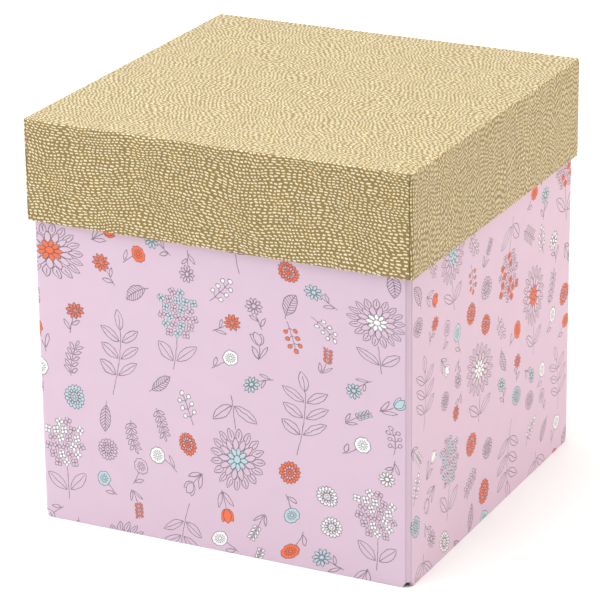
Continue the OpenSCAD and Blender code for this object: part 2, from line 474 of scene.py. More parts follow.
def hingeColumns(signX, signY, backwards):
    # the paper behind the bead crosses from lining to lining in a straight chamfer
    s = wallSheet
    shoulder = s["hingeLeg"] / math.sqrt(2)
    behind = -s["hingeLeg"] - s["board"] - math.sqrt(2) * s["paper"]
    innerEdge = Vector((behind + s["board"] + s["paper"], -s["board"] - s["paper"]))
    innerHalf = (innerEdge.y - innerEdge.x) / math.sqrt(2)
    innerUp = behind / math.sqrt(2)
    columns = []
    for p in hingeLine():
        along = (p.x - p.y) / math.sqrt(2)
        innerAlong = max(-1.0, min(1.0, along / shoulder)) * innerHalf
        inner = Vector((innerUp + innerAlong, innerUp - innerAlong)) / math.sqrt(2)
        outside = Vector((signX * (cornerX + p.x), signY * (cornerY + p.y)))
        inside = Vector((signX * (cornerX + inner.x), signY * (cornerY + inner.y)))
        columns.append({"outside": outside, "inside": inside, "across": along, "proud": 0.0,
                        "facing": Vector((signX, signY)) / math.sqrt(2), "hinge": True})
    return columns[::-1] if backwards else columns


def panelColumns(side, places):
    s = wallSheet
    depth = boardDepth(s)
    half = cornerX if side in ("front", "back") else cornerY
    innerLeg = s["hingeLeg"] + (math.sqrt(2) - 1) * s["paper"]
    outerLeg = s["hingeLeg"] - s["paper"] + s["softEdge"]
    columns = []
    for place in places:
        inner = place * (half - innerLeg) / (half - outerLeg)
        inner = max(-(half - innerLeg), min(half - innerLeg, inner))
        spots = {
            "front": ((place, -wallY), (inner, depth - wallY), (0, -1)),
            "right": ((wallX, place), (wallX - depth, inner), (1, 0)),
            "back": ((-place, wallY), (-inner, wallY - depth), (0, 1)),
            "left": ((-wallX, -place), (depth - wallX, -inner), (-1, 0)),
        }
        outside, inside, facing = [Vector(v) for v in spots[side]]
        across = ((abs(outside.x) - cornerX) - (abs(outside.y) - cornerY)) / math.sqrt(2)
        columns.append({"outside": outside, "inside": inside, "across": across, "proud": 0.0,
                        "facing": facing, "hinge": False})
    return columns


def wallColumns():
    # from the sheet's lapping end on the back, round the box, and back to under the lap
    s = wallSheet
    near = s["nearHinge"]
    far = (s["cutAt"], *s["onPanel"])
    # the corner where each side starts, and whether the hinge's line runs backwards there
    corners = {
        "left": (-1, 1, False),
        "front": (-1, -1, True),
        "right": (1, -1, False),
        "back": (1, 1, True),
    }
    sides = list(corners)
    pieces = {}
    for index, side in enumerate(sides):
        before = sides[index - 1]
        half = cornerX if side in ("front", "back") else cornerY
        halfBefore = cornerX if before in ("front", "back") else cornerY
        first = (s["hingeLeg"] + s["seamLap"], *s["onLap"]) if side == "left" else ()
        arrive = [halfBefore - d for d in (*first, s["cutAt"], *reversed(near))]
        leave = [d - half for d in near + far] + [0] + [half - d for d in reversed(far)]
        if side == "back":
            leave += [half - d for d in reversed(near) if d >= s["sheetEnd"]]
        pieces[side] = [*panelColumns(before, arrive), *hingeColumns(*corners[side]),
                        *panelColumns(side, leave)]

    # the lap lies on the back, and eases up on to the sheet's other end
    for column in pieces["left"]:
        if column["outside"].y > wallY - 0.01:
            short = cornerX + column["outside"].x
            column["proud"] = min(1.0, max(0.0, (short - s["lapFrom"]) / s["lapEase"]))
    run = 0.0
    last = pieces[sides[0]][0]["outside"]
    for column in [c for side in sides for c in pieces[side]]:
        run += (column["outside"] - last).length
        column["run"] = run
        last = column["outside"]
    return pieces


def wallRows():
    s = wallSheet
    places = [
        *foldRows(s, footLevel, 1),
        *[(0.0, footLevel + v) for v in s["fromEdge"]],
        *[(0.0, rimLevel - v) for v in reversed(s["fromEdge"])],
        *foldRows(s, rimLevel, -1),
    ]
    rows = []
    for fold, level in places:
        if not rows or abs(rows[-1]["level"] - level) + abs(rows[-1]["fold"] - fold) > 1e-6:
            rows.append({"fold": fold, "level": level, "inset": 0.0, "proud": 1.0 - fold})

    # how far along the sheet each row lies, from the outside at the foot
    start = next(i for i, row in enumerate(rows) if row["fold"] == 0.0)
    rows[start]["drawn"] = rows[start]["level"]
    for step, end in ((1, len(rows)), (-1, -1)):
        for i in range(start + step, end, step):
            here, before = rows[i], rows[i - step]
            rise = here["level"] - before["level"]
            turn = boardDepth(s) * (here["fold"] - before["fold"])
            here["drawn"] = before["drawn"] + step * math.hypot(rise, turn)
    return rows


def keepWallFace(first, second, below, above):
    # under the bead there is no board to turn the foot of the paper round
    turning = 0.0 < below["fold"] + above["fold"] < 2.0
    atFoot = min(below["level"], above["level"]) < footLevel + wallSheet["footBand"]
    middle = abs(first["across"] + second["across"]) / 2
    inHinge = first["hinge"] and second["hinge"] and middle < wallSheet["openFoot"]
    return not (turning and atFoot and inHinge)


# the print on the walls: line flowers, drawn as distances in millimetres
farAway = 60.0
wallPrint = {
    "ground": inkOf(227, 200, 219),
    "shade": inkOf(216, 187, 207),
    "line": inkOf(84, 72, 86),
    "coral": inkOf(248, 118, 74),
    "aqua": inkOf(192, 217, 227),
    "white": inkOf(250, 249, 250),
    "aquaFrom": 0.41,
    "whiteFrom": 0.66,
    "lineWidth": 0.52,
    "lineSoft": 0.07,
    "fillSoft": 0.1,
    "slip": 0.5,
    "cellWidth": 25.0,
    "cellHeight": 26.0,
    "smallSize": 0.8,
    "smallSpread": 0.14,
    "smallBend": 0.03,
    "largeSize": 0.89,
    "largeSpread": 0.07,
    "largeBend": 0.012,
    "filledShare": 0.74,
    "missingShare": 0.03,
    "kindDraws": 10.999,  # over the eight small kinds, so the first three come twice as often
    "turnSpread": 1.15,
    "wobble": 1.6,
    "sway": 34.0,
    "swaySize": 130.0,
    "stemFoot": -13.5,
    "blockDice": 1000,
    "placeDice": 2000,
    "sizeDice": 3000,
    "floretDice": 4000,
    "roughness": 0.52,
    "relief": 0.03,
}


def reach(x, y):
    return x.maths("MULTIPLY_ADD", x, y * y).maths("SQRT")


def disc(x, y, atX, atY, radius):
    return reach(x - atX, y - atY) - radius


def seenFrom(x, y, atX, atY, turn):
    # a place measured from a point, along axes turned counter-clockwise
    c = math.cos(turn)
    s = math.sin(turn)
    across = x.maths("MULTIPLY_ADD", c, y.maths("MULTIPLY_ADD", s, -atX * c - atY * s))
    along = y.maths("MULTIPLY_ADD", c, x.maths("MULTIPLY_ADD", -s, atX * s - atY * c))
    return across, along


def turned(x, y, turn):
    # the same place along axes turned counter-clockwise, by an angle that varies
    across = x * turn.maths("COSINE") + y * turn.maths("SINE")
    along = y * turn.maths("COSINE") - x * turn.maths("SINE")
    return across, along


def lens(x, y, atX, atY, turn, half, width):
    # a leaf or petal between two arcs, pointed at both ends; negative inside
    across, along = seenFrom(x, y, atX, atY, turn)
    radius = (half * half + width * width) / (2 * width)
    return reach(abs(across) + (radius - width), along) - radius


def stroke(x, y, atX, atY, turn, half):
    across, along = seenFrom(x, y, atX, atY, turn)
    return most(abs(across), abs(along) - half)


def upright(x, y, low, high):
    # a line on x = 0
    return most(abs(x), abs(y - (low + high) / 2) - (high - low) / 2)


def stem(x, y, top):
    return upright(x, y, wallPrint["stemFoot"], top)


def past(value, limit):
    # far away where the value is over the limit, else 0
    return value.maths("GREATER_THAN", limit) * farAway


def cellDice(column, row, offset, stride=57):
    # three random numbers for one cell of a grid
    return dice(column + row * stride + offset)


def again(chance, salt):
    # another random number from one that is drawn already
    return (chance * salt).maths("FRACT")


def flipOf(chance, salt, share=0.5):
    # -1 for that share of the draws, else 1
    return again(chance, salt).maths("GREATER_THAN", share) * 2 - 1


def around(x, y, atX, atY, count, turn):
    # folds a turn about a point into equal wedges that point up
    fromX = x - atX
    fromY = y - atY
    far = reach(fromX, fromY)
    step = 2 * math.pi / count
    angle = (fromX.maths("ARCTAN2", fromY) + turn).maths("WRAP", step / 2, -step / 2)
    return far * angle.maths("SINE"), far * angle.maths("COSINE")


def petal(wedge, near, far, width):
    return lens(*wedge, 0, (near + far) / 2, 0, (far - near) / 2, width)


def tick(wedge, near, far):
    return upright(*wedge, near, far)


# each flower gives the distance to its lines and to its filled places
def daisy(x, y):
    head = 6.4
    wedge = around(x, y, 0, head, 10, 0.2)
    flower = petal(wedge, 2.3, 7.4, 1.25)
    eye = disc(x, y, 0, head, 1.9)
    leaves = least(lens(x, y, 3.6, -7.6, -0.75, 4.7, 1.4), lens(x, y, -3.2, -3.6, 0.8, 4.0, 1.25))
    line = least(abs(flower), abs(eye), stem(x, y, -0.6), abs(leaves))
    return line, least(flower, eye)


def poppy(x, y):
    head = 6.0
    fromY = y - head
    scallop = abs((x.maths("ARCTAN2", fromY) * 4.5).maths("SINE"))
    far = reach(x, fromY)
    edge = far - 6.4 - scallop * 0.6
    ticks = tick(around(x, y, 0, head, 14, 0), 2.7, 4.3)
    leaf = lens(x, y, -3.8, -7.6, 0.7, 4.6, 1.6)
    line = least(abs(edge), abs(far - 1.5), ticks, stem(x, y, -0.6), abs(leaf))
    return line, edge


def leafSprig(x, y):
    side = abs(x)
    level = y.maths("WRAP", 2.3, -2.3)
    leaf = abs(lens(side, level, 3.4, 0.1, -0.9, 3.3, 1.25)) + past(abs(y), 11.5)
    line = least(leaf, stem(x, y, 10.0), abs(lens(x, y, 0, 12.4, 0, 2.4, 1.1)))
    return line, line + farAway


def berrySprig(x, y):
    side = abs(x)
    level = y.maths("WRAP", 3.1, -3.1)
    berry = disc(side, level, 4.4, 0.9, 1.7) + past(abs(y), 9.3)
    twig = stroke(side, level, 1.5, -0.7, -1.05, 1.7) + past(abs(y), 9.3)
    top = disc(x, y, 0, 11.6, 1.9)
    line = least(abs(berry), twig, abs(top), stem(x, y, 9.9))
    return line, least(berry, top)


def tulip(x, y):
    side = abs(x)
    cup = lens(x, y, 0, 7.0, 0, 6.0, 3.4)
    wing = lens(side, y, 3.0, 6.2, -0.3, 5.5, 2.3)
    leaf = lens(side, y, 3.7, -6.4, -0.48, 6.6, 1.7)
    line = least(abs(cup), most(abs(wing), -cup), stem(x, y, 1.0), abs(leaf))
    return line, least(cup, wing)


def bellSpike(x, y):
    side = abs(x)
    level = y.maths("WRAP", 1.7, -1.7)
    bell = lens(side, level, 2.3, 0.05, -0.7, 2.1, 1.1)
    bell = bell + past(abs(y - 5.1), 6.8)
    leaf = lens(side, y, 3.2, -8.6, -0.5, 4.8, 1.2)
    line = least(abs(bell), stem(x, y, 12.5), abs(leaf))
    return line, bell


def broadLeaf(x, y):
    leaf = lens(x, y, 0, 1.0, 0, 11.5, 5.4)
    level = (y + abs(x) * -0.8).maths("WRAP", 1.35, -1.35)
    ribs = most(abs(level) * 0.78, leaf + 0.5)
    line = least(abs(leaf), ribs, upright(x, y, -14.0, 11.0))
    return line, leaf + farAway


def zinnia(x, y):
    head = 1.5
    heart = disc(x, y, 0, head, 3.2)
    inner = petal(around(x, y, 0, head, 12, 0.1), 3.0, 6.4, 1.0)
    outer = petal(around(x, y, 0, head, 16, 0.3), 4.4, 9.2, 1.45)
    seeds = tick(around(x, y, 0, head, 9, 0.0), 1.1, 2.0)
    line = least(abs(heart), abs(inner), most(abs(outer), -inner), seeds)
    return line, least(heart, outer)


smallKinds = (poppy, daisy, zinnia, berrySprig, tulip, bellSpike, leafSprig, broadLeaf)


def dahlia(x, y):
    # rings of petals, the outer ones hidden behind the inner
    head = 12
    heart = disc(x, y, 0, head, 2.8)
    first = petal(around(x, y, 0, head, 9, 0.1), 2.4, 8.8, 1.75)
    second = petal(around(x, y, 0, head, 13, 0.3), 6.0, 15.6, 2.25)
    outerWedge = around(x, y, 0, head, 17, 0.05)
    third = petal(outerWedge, 12.5, 22.6, 2.4)
    veins = tick(outerWedge, 16.0, 20.5)
    inner = least(heart, first)
    covered = least(inner, second)
    side = abs(x)
    leaf = lens(side, y, 9.2, -21.5, -0.95, 10.0, 3.9)
    vein = stroke(side, y, 8.7, -21.9, -0.95, 8.6)
    line = least(abs(heart), most(abs(first), -heart), most(abs(second), -inner),
                 most(abs(third), -covered), most(veins, -covered),
                 upright(x, y, -35, -10), abs(leaf), vein)
    return line, inner


def mophead(x, y):
    # a round head of many four-petalled flowers, in rows where every other one is shifted
    size = 7.6
    height = size * 0.87
    head = 11.5
    level = (y + 1.2) / height
    row = level.maths("FLOOR")
    along = x / size + (row * 0.5).maths("FRACT")
    column = along.maths("FLOOR")
    turn, shade, _ = cellDice(column, row, wallPrint["floretDice"])
    turn = turn * 1.5
    fromX = (along - column - 0.5) * size
    fromY = (level - row - 0.5) * height
    across, upward = turned(fromX, fromY, turn)
    bud = petal(around(across, upward, 0, 0, 4, 0.0), 0.45, 3.7, 1.45)
    eye = disc(across, upward, 0, 0, 0.6)

    # a floret is whole or not there, by where its middle lies
    middleX = (column + 0.5 - (row * 0.5).maths("FRACT")) * size
    middleY = (row + 0.5) * height - 1.2
    missing = past(disc(middleX, middleY, 0, head, 18.6), 0.0)
    whole = disc(x, y, 0, head, 19.0)
    side = abs(x)
    leaf = lens(side, y, 9.6, -20.5, -0.85, 10.4, 4.6)
    vein = stroke(side, y, 9.0, -21.0, -0.85, 8.8)
    line = least(least(abs(bud), abs(eye)) + missing, upright(x, y, -35, -8),
                 most(abs(leaf), -whole), most(vein, -whole))
    return line, bud + missing + past(shade, 0.55)


def branch(x, y):
    # broad ribbed leaves in pairs along one stem
    side = abs(x)
    level = y.maths("WRAP", 6.6, -6.6)
    leaf = abs(lens(side, level, 9.6, 0.9, -1.0, 9.8, 3.7))
    rib = stroke(side, level, 8.9, 0.5, -1.0, 8.2)
    pairs = least(leaf, rib) + past(abs(y), 19.8)
    tip = lens(x, y, 0, 26.0, 0, 8.2, 3.7)
    line = least(pairs, abs(tip), upright(x, y, -33, 30))
    return line, line + farAway


largeKinds = (dahlia, mophead, branch)


def oneOf(kinds, x, y, pick):
    # draws the kind with the number picked, from 0 up
    line, fill = None, None
    for index, draw in enumerate(kinds):
        off = farAway - pick.maths("COMPARE", float(index), 0.5) * farAway
        drawn, inner = draw(x, y)
        line = drawn + off if line is None else least(line, drawn + off)
        fill = inner + off if fill is None else least(fill, inner + off)
    return line, fill


def wallInk(p):
    # how much the line and the colours cover a place on the sheet, and which colour lies there
    s = wallPrint
    width = s["lineWidth"] / 2 * (0.75 + noise(p, 0.6, 1.0) * 0.5)
    slip = noise(p, 0.09, 0.0) * s["slip"] - s["slip"] / 2
    strayX, strayY, _ = tintsOf(noise(p, 0.2, 2.0, "Color"))
    swayX, swayY, _ = tintsOf(noise(p, 1 / s["swaySize"], 0.0, "Color"))
    x, y, _ = partsOf(p)
    x = x + (strayX - 0.5) * s["wobble"] + (swayX - 0.5) * s["sway"]
    y = y + (strayY - 0.5) * s["wobble"] + (swayY - 0.5) * s["sway"]

    # every other column of cells lies half a cell lower
    gridX = x / s["cellWidth"]
    column = gridX.maths("FLOOR")
    gridY = y / s["cellHeight"] + (column * 0.5).maths("FRACT")
    row = gridY.maths("FLOOR")

    # four columns by three rows hold one large flower, on two of the columns, taking turns
    blockX = (column / 4).maths("FLOOR")
    drop = (again(blockX, 0.618) * 2.999).maths("FLOOR")
    blockY = ((row + drop) / 3).maths("FLOOR")
    chanceX, chanceY, chanceZ = cellDice(blockX, blockY, s["blockDice"])
    fromX = blockX * 4 + (blockX + blockY).maths("FLOORED_MODULO", 2.0) * 2
    fromY = blockY * 3 - drop
    inLarge = (column - fromX - 0.5).maths("COMPARE", 0.0, 0.75)
    largeX = x - (fromX + 1) * s["cellWidth"]
    largeY = y - (fromY + 1.25) * s["cellHeight"]
    largeSize = s["largeSize"] + again(chanceX, 3.7) * s["largeSpread"]
    bend = again(chanceY, 5.3) * s["largeBend"] - s["largeBend"] / 2
    largeX = (largeX + largeY * largeY * bend) * flipOf(chanceZ, 7.3) / largeSize
    largeY = largeY * flipOf(chanceX, 9.7, 0.35) / largeSize
    largePick = (blockX * 2 + blockY).maths("FLOORED_MODULO", float(len(largeKinds)))
    largeLine, largeFill = oneOf(largeKinds, largeX, largeY, largePick)
    outside = farAway - inLarge * farAway
    largeLine = largeLine * largeSize + outside
    largeFill = largeFill + outside

    # the other cells hold one small flower each
    tossX, tossY, tossZ = cellDice(column, row, s["placeDice"])
    sizeToss, turnToss, moreToss = cellDice(column, row, s["sizeDice"])
    size = s["smallSize"] + sizeToss * s["smallSpread"]
    turn = (turnToss * 2 - 1) * s["turnSpread"]
    room = (0.95 - size) * s["cellHeight"] + 0.4
    fromX = (gridX - column - 0.5) * s["cellWidth"] - (tossX - 0.5) * room
    fromY = (gridY - row - 0.5) * s["cellHeight"] - (tossY - 0.5) * room
    fromX = fromX / size
    fromY = fromY / size * flipOf(moreToss, 17.0)
    across, along = turned(fromX, fromY, turn)
    bend = moreToss * s["smallBend"] - s["smallBend"] / 2
    across = (across + along * along * bend) * flipOf(tossZ, 9.1)
    pick = (tossZ * s["kindDraws"]).maths("FLOOR").maths("MODULO", float(len(smallKinds)))
    line, fill = oneOf(smallKinds, across, along, pick)
    gone = inLarge + again(sizeToss, 13.7).maths("LESS_THAN", s["missingShare"])
    line = line * size + gone * farAway
    blank = again(turnToss, 3.3).maths("GREATER_THAN", s["filledShare"])
    fill = fill * size + (gone + blank) * farAway

    pen = ease(least(line, largeLine) - width, s["lineSoft"], -s["lineSoft"])
    # colour sits a little off its outline
    spot = ease(least(fill, largeFill) + slip, s["fillSoft"], -s["fillSoft"])
    colour = (turnToss * 5.7 * (1 - inLarge) + chanceZ * 3.1 * inLarge).maths("FRACT")
    return pen, spot, colour


def paperGrain(p):
    # the tooth of a pressed sheet, and its short fibres
    grain = noise(p, 3.2, 3.0)
    fibre = noise(p.make("ShaderNodeMapping", None, {"Vector": p, "Scale": (0.5, 2.6, 1)}), 1.7)
    return grain, fibre


def sheetPlace(material):
    return Wire(material.node_tree).make("ShaderNodeUVMap", {"uv_map": "sheet"})


def wallPaperMaterial():
    s = wallPrint
    material = newMaterial("printedWallPaper")
    p = sheetPlace(material)
    pen, spot, colour = wallInk(p)
    cloud = noise(p, 0.05, 3.0)
    grain, fibre = paperGrain(p)
    ground = blendColour(cloud * 0.5 + grain * 0.3 - 0.15, s["ground"], s["shade"])
    stops = [(0.0, s["coral"]), (s["aquaFrom"], s["aqua"]), (s["whiteFrom"], s["white"])]
    fill = colour.make("ShaderNodeValToRGB", {"stops": stops}, {"Fac": colour})
    fill.socket.node.color_ramp.interpolation = "CONSTANT"
    inked = blendColour(spot, ground, fill)
    inked = blendColour(pen * (0.72 + grain * 0.25), inked, s["line"])
    height = grain * 0.6 + fibre * 0.4
    feed(material, {
        "Base Color": inked,
        "Roughness": s["roughness"] + fibre * 0.14,
        "Normal": bumpOf(height, s["relief"] * mm, 0.5),
    })
    return material


def bareEdgeMaterial(name, light, dark):
    # the unprinted back and cut edge of a covering paper
    material = newMaterial(name)
    grain, fibre = paperGrain(sheetPlace(material))
    feed(material, {
        "Base Color": blendColour(fibre * 0.7 + grain * 0.3, light, dark),
        "Roughness": 0.7 + grain * 0.15,
        "Normal": bumpOf(grain * 0.5 + fibre * 0.5, 0.03 * mm, 0.6),
    })
    return material


wallPaper = wallPaperMaterial()
bareWallPaper = bareEdgeMaterial("bareWallPaper", (0.83, 0.82, 0.79, 1), (0.71, 0.69, 0.65, 1))
# where the sheet lies in the baked image, as shares of its width
wallBake = {
    "margin": 0.004,
    "printed": 0.94,
    "bareFrom": 0.955,
    "bare": 0.04,
}


def wrapWall(side, columns, rows):
    mesh = flatSheet("flat" + side.title(), columns, rows,
                     lambda column, row, upper: (column["run"], row["drawn"]), keepWallFace)
    piece = foldedPaper("base_wrap_" + side, mesh, wallPaper, bareWallPaper, {
        "Foot level": footLevel * mm,
        "Rim level": rimLevel * mm,
        "Arch radius": wallSheet["archRadius"] * mm,
        "Arch reach": wallSheet["archReach"] * mm,
        "Rim dip": wallSheet["rimDip"] * mm,
        "Dip width": wallSheet["dipWidth"] * mm,
        "Lap lift": wallSheet["paper"] * mm,
    }, wallSheet["paper"] * mm)
    span = columns[-1]["run"] - columns[0]["run"]
    tall = rows[-1]["drawn"] - rows[0]["drawn"]

    def bakePlace(at, bare):
        # the print fills the image, but for a strip at its side that the bare back gets
        s = wallBake
        along = (at[0] - columns[0]["run"]) / span
        up = s["margin"] + (1 - 2 * s["margin"]) * (at[1] - rows[0]["drawn"]) / tall
        start, share = (s["bareFrom"], s["bare"]) if bare else (s["margin"], s["printed"])
        return start + share * along, up

    addBakeMap(piece.data, bakePlace)
    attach(piece, "base")
    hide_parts("base_wrap")
    print("wall paper", side, "folded:", len(piece.data.polygons), "faces")


wallSheetRows = wallRows()
for side, columns in wallColumns().items():
    wrapWall(side, columns, wallSheetRows)


# the printed paper over the lid, in millimetres
lidSheet = {
    "paper": 0.15,
    "board": 2.0,
    "turnIn": 18.0,
    "foldRadius": 0.3,
    "cornerRadius": 2.0,
    "cornerSteps": 6,
    "innerRadius": 0.3,
    "edgeRadius": 1.0,
    "edgeSteps": 6,
    "setback": 2.2,
    "lap": 15.0,
    "lapEase": 1.8,
    "shoulder": 1.6,
    "onFlap": (141, 136),
    "onFlapMiddle": (120, 80, 40),
    "onSide": (-145, -130, -90, -45, 0, 45, 90, 130, 145),
    "upSkirt": (1, 3, 10, 25, 45, 62, 69),
    "underEdge": ((3.5, 1.0), (2.4, 0.8), (1.3, 0.3), (0.5, 0.0), (0.0, 0.0)),  # drop, rise of the lap
}
noCorner = 1000.0  # the lid has no paper hinges, so every point is far from one
lidLow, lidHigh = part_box("lid_wrap")
lidX = lidHigh.x / mm
lidY = lidHigh.y / mm - lidSheet["paper"]
lidFoot = lidLow.z / mm
lidTop = lidHigh.z / mm


def lidColumns():
    # all the way round from the left end of the front flap, each with its own place on the sheet
    s = lidSheet
    depth = boardDepth(s)
    corner = s["cornerRadius"]
    flatX, flatY = lidX - corner, lidY - corner
    innerX = lidX - depth - s["innerRadius"]
    innerY = lidY - depth - s["innerRadius"]
    cut = lidX - s["setback"]
    lapFrom = cut - s["lap"]
    tabEnd = flatY + corner * math.pi / 2 + s["setback"] - corner
    quarter = [math.pi / 2 * i / s["cornerSteps"] for i in range(s["cornerSteps"] + 1)]
    columns = []

    def add(region, outside, inside, facing, along, proud=0.0):
        columns.append({"region": region, "outside": Vector(outside), "inside": Vector(inside),
                        "facing": Vector(facing), "along": along, "proud": proud, "across": noCorner})

    def addTabEnd(tab, side, end):
        add(tab, (side * cut, end * lidY), (side * cut * innerX / flatX, end * (lidY - depth)),
            (0, end), end * tabEnd)

    def addCorner(tab, side, end, angles):
        # 0 looks out at the side and a quarter turn at the end
        for a in angles:
            facing = Vector((side * math.cos(a), end * math.sin(a)))
            add(tab, Vector((side * flatX, end * flatY)) + facing * corner,
                Vector((side * innerX, end * innerY)) + facing * s["innerRadius"], facing,
                end * (flatY + corner * a))

    marks = [cut, cut - 1, *s["onFlap"], lapFrom + 0.6, lapFrom - 0.3, lapFrom - 1.2, *s["onFlapMiddle"]]
    flapMarks = [-m for m in marks] + [0] + marks[::-1]
    for flap, tab, sign in (("front", "right", -1), ("back", "left", 1)):
        for mark in flapMarks:
            x = -sign * mark
            proud = min(1.0, max(0.0, (abs(mark) - lapFrom + 1.2) / s["lapEase"]))
            add(flap, (x, sign * lidY), (x * innerX / flatX, sign * (lidY - depth)), (0, sign), x, proud)

        # the side flap's tabs go round both of its corners
        side, near, far = -sign, sign, -sign
        addTabEnd(tab, side, near)
        addCorner(tab, side, near, quarter[::-1])
        for mark in s["onSide"]:
            y = mark * side
            add(tab, (side * lidX, y), (side * (lidX - depth), y * innerY / flatY), (side, 0), y)
        addCorner(tab, side, far, quarter)
        addTabEnd(tab, side, far)
    return columns


def lidRows():
    s = lidSheet
    shoulderZ = lidTop - s["edgeRadius"]
    rows = []

    def add(fold, level, proud=0.0, inset=0.0):
        rows.append({"fold": fold, "level": level, "inset": inset, "proud": proud})

    for fold, level in foldRows(s, lidFoot, 1):
        add(fold, level, 1.0 - fold)
    for up in s["upSkirt"]:
        add(0.0, lidFoot + up, 1.0)
    for drop, proud in s["underEdge"]:
        add(0.0, shoulderZ - drop, proud)
    for i in range(1, s["edgeSteps"] + 1):
        a = math.pi / 2 * i / s["edgeSteps"]
        add(0.0, shoulderZ + s["edgeRadius"] * math.sin(a), 0.0, s["edgeRadius"] * (1 - math.cos(a)))
    rows[-1]["run"] = 0.0
    for here, above in zip(rows[-2::-1], rows[::-1]):
        gap = math.hypot(above["level"] - here["level"], boardDepth(s) * (above["fold"] - here["fold"]),
                         above["inset"] - here["inset"])
        here["run"] = above["run"] + gap
    add(0.0, lidTop, 0.0, s["shoulder"])
    rows[-1]["top"] = True
    return rows


def lidDrawnAt(column, row, upper):
    # the top is flat on the sheet, and each flap goes on outwards from it
    s = lidSheet
    if upper.get("top"):
        spot = column["outside"] - column["facing"] * row["inset"]
        return spot.x, spot.y
    outX = lidX - s["edgeRadius"] + row["run"]
    outY = lidY - s["edgeRadius"] + row["run"]
    places = {
        "front": (column["along"], -outY),
        "back": (column["along"], outY),
        "right": (outX, column["along"]),
        "left": (-outX, column["along"]),
    }
    return places[column["region"]]


# the print on the lid: rows of short seed-like dashes
lidPrint = {
    "ground": (0.325, 0.218, 0.072, 1),
    "groundDeep": (0.275, 0.182, 0.057, 1),
    "groundGold": (0.37, 0.235, 0.05, 1),
    "dash": (0.94, 0.82, 0.57, 1),
    # the dark line at the flaps' cut ends: partly raw edge, partly painted shadow
    "cutEdgeShadow": (0.085, 0.042, 0.006, 1),
    "rowGap": 2.2,
    "pitch": 3.52,
    "dashHalf": 1.22,
    "dashThick": 0.51,
    "dashSoft": 0.14,
    "drift": 3.6,
    "driftSize": 45.0,
    "slowDrift": 9.0,
    "slowSize": 110.0,
    "ripple": 2.6,
    "rippleSize": 15.0,
    "sway": 14.0,
    "swaySize": 34.0,
    "patchSize": 11.0,
    "slant": 0.36,
    "looseStart": 0.78,
    "stray": 0.92,
    "turn": 0.45,
    "tilt": 0.12,
    "cutFaint": 0.95,
    "cutFull": 0.35,
    "cutDepth": 0.85,
    "rowDice": 5000,
    "dashDice": 7000,
    "dashStride": 401,
    "roughness": 0.38,
    "relief": 0.03,
}


def dashInk(p):
    # a lattice of short dashes, warped together like a water surface
    s = lidPrint
    drift = noise(p, 1 / s["driftSize"], 1.0) * 2 - 1
    slow = noise(p, 1 / s["slowSize"], 0.0) * 2 - 1
    rippleX, rippleY, _ = tintsOf(noise(p, 1 / s["rippleSize"], 0.0, "Color"))
    swayX, _, _ = tintsOf(noise(p, 1 / s["swaySize"], 0.0, "Color"))
    x, y, _ = partsOf(p)
    y = y + drift * s["drift"] + slow * s["slowDrift"] + rippleY * s["ripple"]
    x = x + swayX * s["sway"] + rippleX * s["ripple"]
    warped = y / s["rowGap"]
    row = warped.maths("FLOOR")
    start, _, _ = dice(row + s["rowDice"])
    run = x / s["pitch"] + row * s["slant"] + start * s["looseStart"]
    column = run.maths("FLOOR")
    chanceX, chanceY, chanceZ = cellDice(column, row, s["dashDice"], s["dashStride"])
    alongDash = (run - column - 0.5) * s["pitch"] + (chanceX - 0.5) * s["stray"]
    acrossDash = (warped - row - 0.5) * s["rowGap"] + (chanceY - 0.5) * s["stray"] * 0.6
    acrossDash = acrossDash + alongDash * ((chanceZ - 0.5) * s["turn"] + s["tilt"])
    thick = s["dashThick"] * (0.84 + again(chanceY, 5.3) * 0.3)
    half = s["dashHalf"] * (0.78 + again(chanceX, 7.7) * 0.34) - s["dashThick"]
    edge = reach(most(abs(alongDash) - half, 0.0), acrossDash) - thick
    return ease(edge, s["dashSoft"], -s["dashSoft"])


def cutEdgeShadows(p):
    # a dark line at the cut ends of the front and back flaps and of the tabs under them; partly raw edge,
    # partly painted shadow
    s = lidSheet
    x, y, _ = partsOf(p)
    flapEnd = abs(abs(x) - (lidX - s["setback"])) + past(lidY - abs(y), 0.0)
    turnLength = s["cornerRadius"] * (math.pi / 2 - 2) + s["setback"]
    tabEnd = abs(abs(y) - (lidY + turnLength)) + past(lidX - abs(x), 0.0)
    ragged = least(flapEnd, tabEnd) + noise(p, 0.35, 2.0) * 0.7
    return ease(ragged, lidPrint["cutFaint"], lidPrint["cutFull"]) * lidPrint["cutDepth"]


def lidPaperMaterial():
    s = lidPrint
    material = newMaterial("printedLidPaper")
    p = sheetPlace(material)
    dash = dashInk(p)
    cloud = noise(p, 0.05, 3.0)
    grain, fibre = paperGrain(p)
    ground = blendColour(cloud * 0.8 + grain * 0.4 - 0.1, s["ground"], s["groundDeep"])
    patch = ease(noise(p, 1 / s["patchSize"], 1.0), 0.5, 0.75)
    ground = blendColour(patch * 0.7, ground, s["groundGold"])
    inked = blendColour(dash * (0.9 + fibre * 0.1), ground, s["dash"])
    feed(material, {
        "Base Color": blendColour(cutEdgeShadows(p), inked, s["cutEdgeShadow"]),
        "Roughness": s["roughness"] + fibre * 0.14,
        "Normal": bumpOf(grain * 0.6 + fibre * 0.4 + dash * 0.2, s["relief"] * mm, 0.5),
    })
    return material


